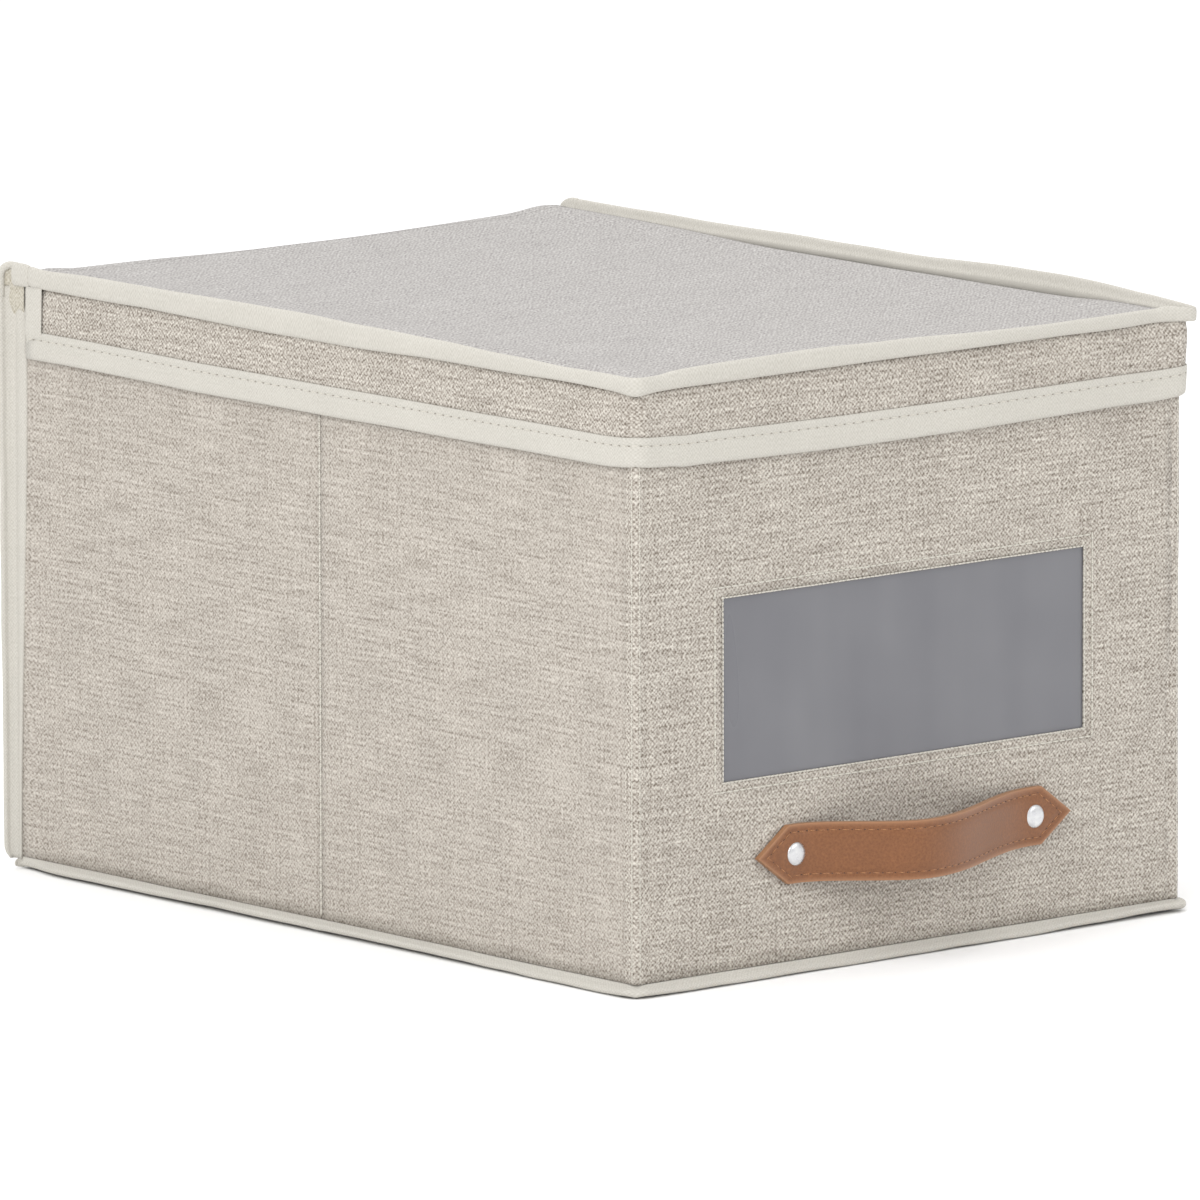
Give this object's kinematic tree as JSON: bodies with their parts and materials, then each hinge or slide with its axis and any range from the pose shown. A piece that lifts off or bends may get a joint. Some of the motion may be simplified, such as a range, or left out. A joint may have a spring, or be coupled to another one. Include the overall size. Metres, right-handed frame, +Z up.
{
  "type": "fabric storage bin",
  "caption": "Lidded cloth-covered storage bin with a clear front window, a riveted leather strap handle, a hinged lid with a skirt, and fold lines in the side walls.",
  "frame": {"origin": "middle of the base, on the surface that the bin stands on", "axes": "+Z up, front wall with the window and the handle facing -Y, +X to the right seen from the front"},
  "size_m": [0.3102, 0.4305, 0.2565],
  "materials": {
    "body_cloth": "woven linen look, light slubs on a warm grey",
    "lid_cloth": "woven linen look, cooler grey",
    "lining": "thin non-woven cloth",
    "edge_tape": "cream woven binding tape",
    "board": "grey-brown fibre board",
    "leather": "tan leather with stitched edges",
    "rivet_metal": "polished nickel",
    "film": "clear soft film"
  },
  "bodies": {
    "back_and_base": {"back_board": "board", "back_cover": "body_cloth", "back_lining": "lining", "base_board": "board", "base_board_cloth": "lining", "base_cover": "body_cloth", "bottom_tape_back": "edge_tape", "bottom_tape_front": "edge_tape", "bottom_tape_left": "edge_tape", "bottom_tape_right": "edge_tape", "rear_corner_tape_left": "edge_tape", "rear_corner_tape_right": "edge_tape"},
    "lid": {"edge_tape_front": "edge_tape", "edge_tape_left": "edge_tape", "edge_tape_right": "edge_tape", "end_tape_left": "edge_tape", "end_tape_right": "edge_tape", "hem_tape_front": "edge_tape", "hem_tape_left": "edge_tape", "hem_tape_right": "edge_tape", "lid_board": "board", "lid_cover": "lid_cloth", "lid_lining": "lining", "skirt_front": "body_cloth", "skirt_left": "body_cloth", "skirt_right": "body_cloth"},
    "front_wall": {"front_board": "board", "front_cover": "body_cloth", "front_lining": "lining", "handle_backing": "leather", "handle_strap": "leather", "rivet_washers": "rivet_metal", "rivets": "rivet_metal", "window_film": "film"},
    "left_front": {"left_front_board": "board", "left_front_cover": "body_cloth", "left_front_lining": "lining"},
    "left_rear": {"left_rear_board": "board", "left_rear_cover": "body_cloth", "left_rear_lining": "lining"},
    "right_front": {"right_front_board": "board", "right_front_cover": "body_cloth", "right_front_lining": "lining"},
    "right_rear": {"right_rear_board": "board", "right_rear_cover": "body_cloth", "right_rear_lining": "lining"}
  },
  "joints": [
    {"name": "lid_hinge", "type": "hinge", "parent": "back_and_base", "child": "lid", "pos_m": [0, 0.199, 0.2529], "axis": [-1, 0, 0], "range_deg": [0, 210]},
    {"name": "left_rear_corner", "type": "hinge", "parent": "back_and_base", "child": "left_rear", "pos_m": [-0.1462, 0.1952, 0], "axis": [0, 0, 1], "range_deg": [0, 45]},
    {"name": "left_crease", "type": "hinge", "parent": "left_rear", "child": "left_front", "pos_m": [-0.15, 0, 0], "axis": [0, 0, 1], "range_deg": [-90, 0]},
    {"name": "left_front_corner", "type": "hinge", "parent": "left_front", "child": "front_wall", "pos_m": [-0.1462, -0.1952, 0], "axis": [0, 0, 1], "range_deg": [0, 45]},
    {"name": "right_rear_corner", "type": "hinge", "parent": "back_and_base", "child": "right_rear", "pos_m": [0.1462, 0.1952, 0], "axis": [0, 0, 1], "range_deg": [-45, 0]},
    {"name": "right_crease", "type": "hinge", "parent": "right_rear", "child": "right_front", "pos_m": [0.15, 0, 0], "axis": [0, 0, 1], "range_deg": [0, 90]}
  ],
  "couplings": [
    {"joint": "left_crease", "follows": "left_rear_corner", "ratio": -2},
    {"joint": "left_front_corner", "follows": "left_rear_corner", "ratio": 1},
    {"joint": "right_rear_corner", "follows": "left_rear_corner", "ratio": -1},
    {"joint": "right_crease", "follows": "left_rear_corner", "ratio": 2}
  ]
}
